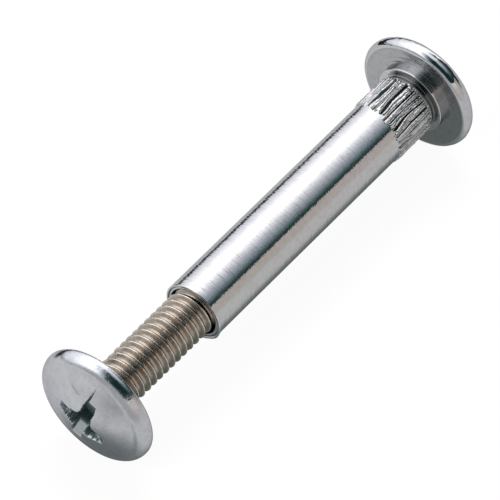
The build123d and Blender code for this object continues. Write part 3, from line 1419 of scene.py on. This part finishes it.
        # The painted shade is deep and even under the fastener and falls off quickly at its width.
        fade = add_node(tree, "Math", (add_node(
            tree, "Math", (distance, 1 / self.shade_width), operation="MULTIPLY"
        ), 4.0), operation="POWER")
        round_foot = add_node(tree, "Math", (add_node(
            tree, "Math", (fade, -1.0), operation="MULTIPLY"
        ),), operation="EXPONENT")
        shade = add_node(tree, "Math", (round_foot, self.shade_depth), operation="MULTIPLY")
        lit = add_node(tree, "Math", (1.0, shade), operation="SUBTRACT")
        level = add_node(tree, "Math", (base, painted_dark), operation="SUBTRACT")
        return add_node(tree, "Math", (level, lit), operation="MULTIPLY"), shade

    def dark_card(self) -> None:
        """Low dark card behind, seen only in the metal, that draws the thin line on its far side."""
        near, far = self.card_near * MM, self.card_far * MM
        start, stop = self.card_start * MM, self.floor_radius * MM / 2
        corners = ((start, near), (stop, near), (stop, far), (start, far))
        mesh = bpy.data.meshes.new("dark_card")
        mesh.from_pydata([(*corner, self.card_height * MM) for corner in corners], [], [(0, 1, 2, 3)])
        card = bpy.data.objects.new("dark_card", mesh)
        bpy.context.scene.collection.objects.link(card)
        material, tree = new_material("black_card")
        glow = add_node(tree, "Emission", (linear(self.card), 1.0))
        add_node(tree, "OutputMaterial", (glow,))
        card.data.materials.append(material)
        card.visible_camera = card.visible_diffuse = card.visible_shadow = False
        card.visible_transmission = False

    def tent(self) -> None:
        """Light tent that only reflections see, bright behind and above, dark over the camera."""
        mesh = bpy.data.meshes.new("light_tent")
        form = bmesh.new()
        bmesh.ops.create_uvsphere(
            form, u_segments=96, v_segments=48, radius=self.tent_radius * MM
        )
        below = [v for v in form.verts if v.co.z < -0.001]
        bmesh.ops.delete(form, geom=below, context="VERTS")
        form.to_mesh(mesh)
        form.free()
        tent = bpy.data.objects.new("light_tent", mesh)
        bpy.context.scene.collection.objects.link(tent)
        material, tree = new_material("tent_cloth")
        place = add_node(tree, "TexCoord", output="Object")
        along, off, up = add_node(tree, "SeparateXYZ", (place,)).node.outputs
        round_axis = add_node(tree, "Math", (up, off), operation="ARCTAN2")
        share = add_node(tree, "Math", (round_axis, pi), operation="DIVIDE")
        level = max(max(rgb) for _, rgb in TENT_FOR_TUBE)     # a ramp holds no colour above 1
        reach = self.tent_radius * MM
        colour = None
        for stops, turn in (
            (TENT_FOR_TUBE, None), (TENT_CAMERA_SIDE, self.camera_side), (TENT_PAST_END, self.past_end),
            (((0, TENT_NEAR_END), (180, TENT_NEAR_END)), self.near_end),
        ):
            band = add_node(tree, "ValToRGB", (share,))
            elements = band.node.color_ramp.elements
            for number, (angle, rgb) in enumerate(stops):
                element = elements[number] if number < 2 else elements.new(angle / 180)
                element.position = angle / 180
                element.color = (*(channel / level for channel in rgb), 1.0)
            if turn:
                facing = add_node(
                    tree, "MapRange", (along, turn[0] * reach, turn[1] * reach),
                    interpolation_type="SMOOTHSTEP",
                )
                band = add_node(
                    tree, "Mix", {0: facing, 6: colour, 7: band}, 2, data_type="RGBA"
                )
            colour = band
        glow = add_node(tree, "Emission", (colour, level))
        add_node(tree, "OutputMaterial", (glow,))
        material.cycles.emission_sampling = "NONE"
        tent.data.materials.append(material)
        tent.visible_camera = tent.visible_diffuse = tent.visible_shadow = False
        tent.visible_transmission = False

    def world(self) -> None:
        """White surroundings to the eye and in gloss, and a plain grey fill on everything."""
        world = bpy.data.worlds.new("studio")
        bpy.context.scene.world = world
        world.use_nodes = True
        tree = world.node_tree
        tree.nodes.clear()
        strength = add_node(
            tree, "Math", (self.seen(tree), 1 - self.fill, self.fill), operation="MULTIPLY_ADD"
        )
        glow = add_node(tree, "Background", (linear("#ffffff"), strength))
        add_node(tree, "OutputWorld", (glow,))

    def lamp(
        self, name: str, place: tuple[float, float, float], side: float, watts: float
    ) -> None:
        """Square soft lamp that points at the object.

        Args:
            name: the lamp's name.
            place: where it hangs, in millimetres.
            side: length of its side, in millimetres.
            watts: its power.
        """
        light = bpy.data.lights.new(name, "AREA")
        light.size = side * MM
        light.energy = watts
        lamp = bpy.data.objects.new(name, light)
        lamp.location = Vector(place) * MM
        lamp.rotation_euler = (-lamp.location).to_track_quat("-Z", "Y").to_euler()
        lamp.visible_glossy = False
        bpy.context.scene.collection.objects.link(lamp)

    def camera(self) -> None:
        """Long lens that looks down along the fastener from the screw's side."""
        data = bpy.data.cameras.new("camera")
        data.lens, data.sensor_width = self.lens, self.sensor
        data.clip_start, data.clip_end = 10 * MM, 10000 * MM
        camera = bpy.data.objects.new("camera", data)
        view, right = Vector(self.view).normalized(), Vector(self.right).normalized()
        up = right.cross(view)
        camera.matrix_world = Matrix.Translation(Vector(self.camera_place) * MM) @ Matrix(
            (right, up, -view)
        ).transposed().to_4x4()
        bpy.context.scene.collection.objects.link(camera)
        bpy.context.scene.camera = camera

    def build(self) -> None:
        """Set up the whole studio."""
        bpy.context.scene.view_settings.view_transform = "Standard"
        self.floor()
        self.dark_card()
        self.tent()
        self.world()
        self.lamp("overhead_lamp", (220.0, 180.0, 420.0), 300.0, 2.2)
        self.lamp("side_lamp", (-300.0, 100.0, 300.0), 300.0, 1.0)
        self.camera()
        LOG.info("studio ready")


def main() -> None:
    """Build the pieces in order, then the studio."""
    logging.basicConfig(level=logging.INFO, format="%(name)s: %(message)s")
    Studio().build()
    SleeveNut(mount_x("sleeve_head_seat")).build()
    Screw(mount_x("screw_head_seat")).build()


if __name__ == "__main__":
    main()
